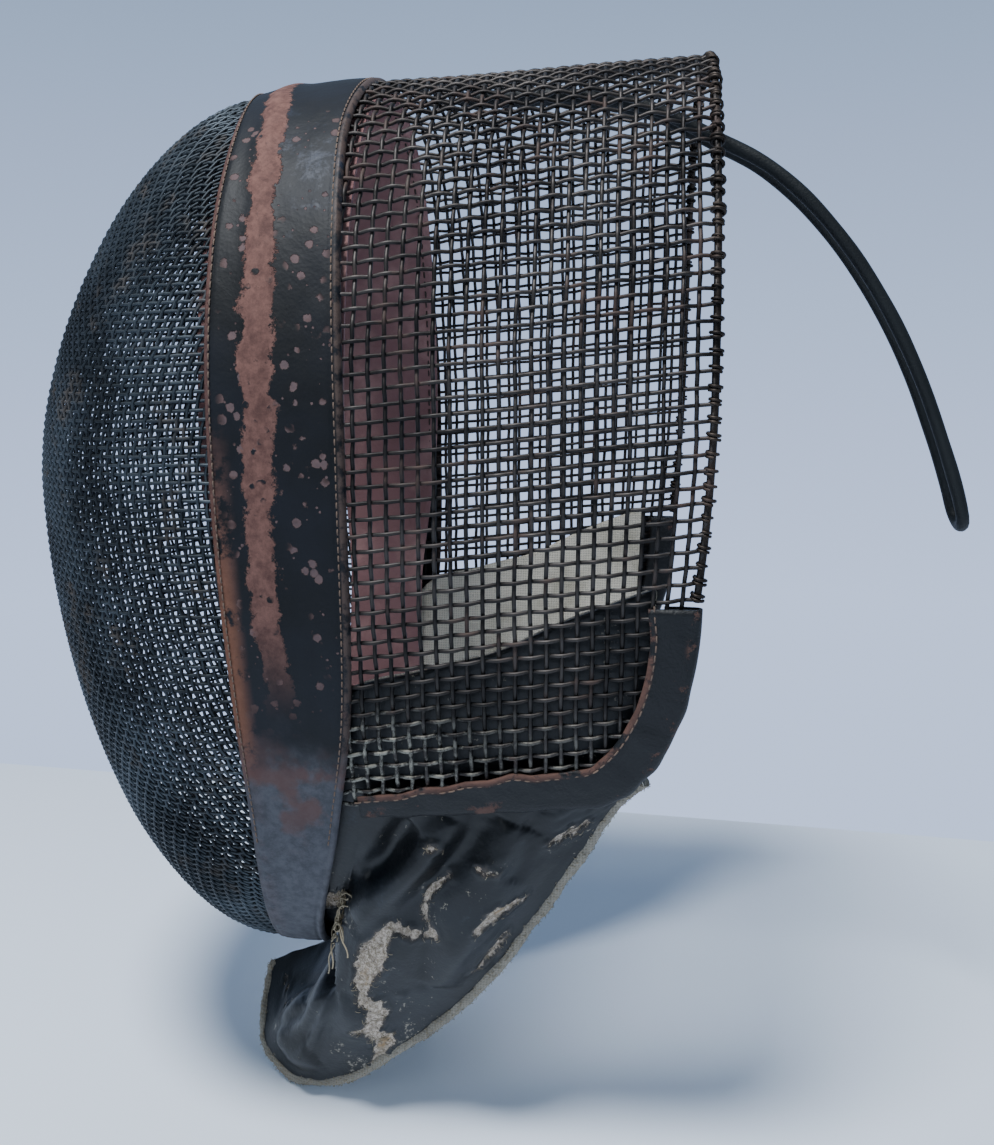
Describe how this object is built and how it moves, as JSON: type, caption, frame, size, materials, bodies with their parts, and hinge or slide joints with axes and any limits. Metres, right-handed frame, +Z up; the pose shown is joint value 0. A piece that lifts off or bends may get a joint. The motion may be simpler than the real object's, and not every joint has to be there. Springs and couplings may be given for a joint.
{
  "type": "wire fencing mask",
  "caption": "Old wire fencing mask: woven steel face dome, coarse wire sides and crown, leather band over the join, leather and canvas bib, sprung rear tongue.",
  "frame": {"origin": "on the middle plane under the crown and its spring, where the top of the wearer's head bears", "axes": "+Z up, the face looks along -Y, the rear opening is towards +Y, +X is the wearer's left"},
  "size_m": [0.2002, 0.3248, 0.3686],
  "materials": {
    "face_wire": "dark japanned steel wire, worn",
    "side_wire": "tarnished steel wire with dull highlights",
    "band_leather": "black leather worn to reddish brown along its ridge and edges",
    "inner_leather": "reddish brown leather",
    "binding_leather": "black leather binding, brown at its worn edge",
    "bib_leather": "thin black leather with a soft shine, creased and torn",
    "canvas": "khaki canvas",
    "edging": "rolled off-white to khaki edging",
    "tongue_cover": "dark covered spring rods"
  },
  "bodies": {
    "root": {"front_mesh": "face_wire", "side_mesh": "side_wire", "rim_wire": "side_wire", "band": "band_leather", "inner_band": "inner_leather", "binding_left": "binding_leather", "binding_right": "binding_leather", "bib_leather": "bib_leather", "bib_lining": "canvas", "bib_edge": "edging", "tongue": "tongue_cover"}
  },
  "joints": []
}
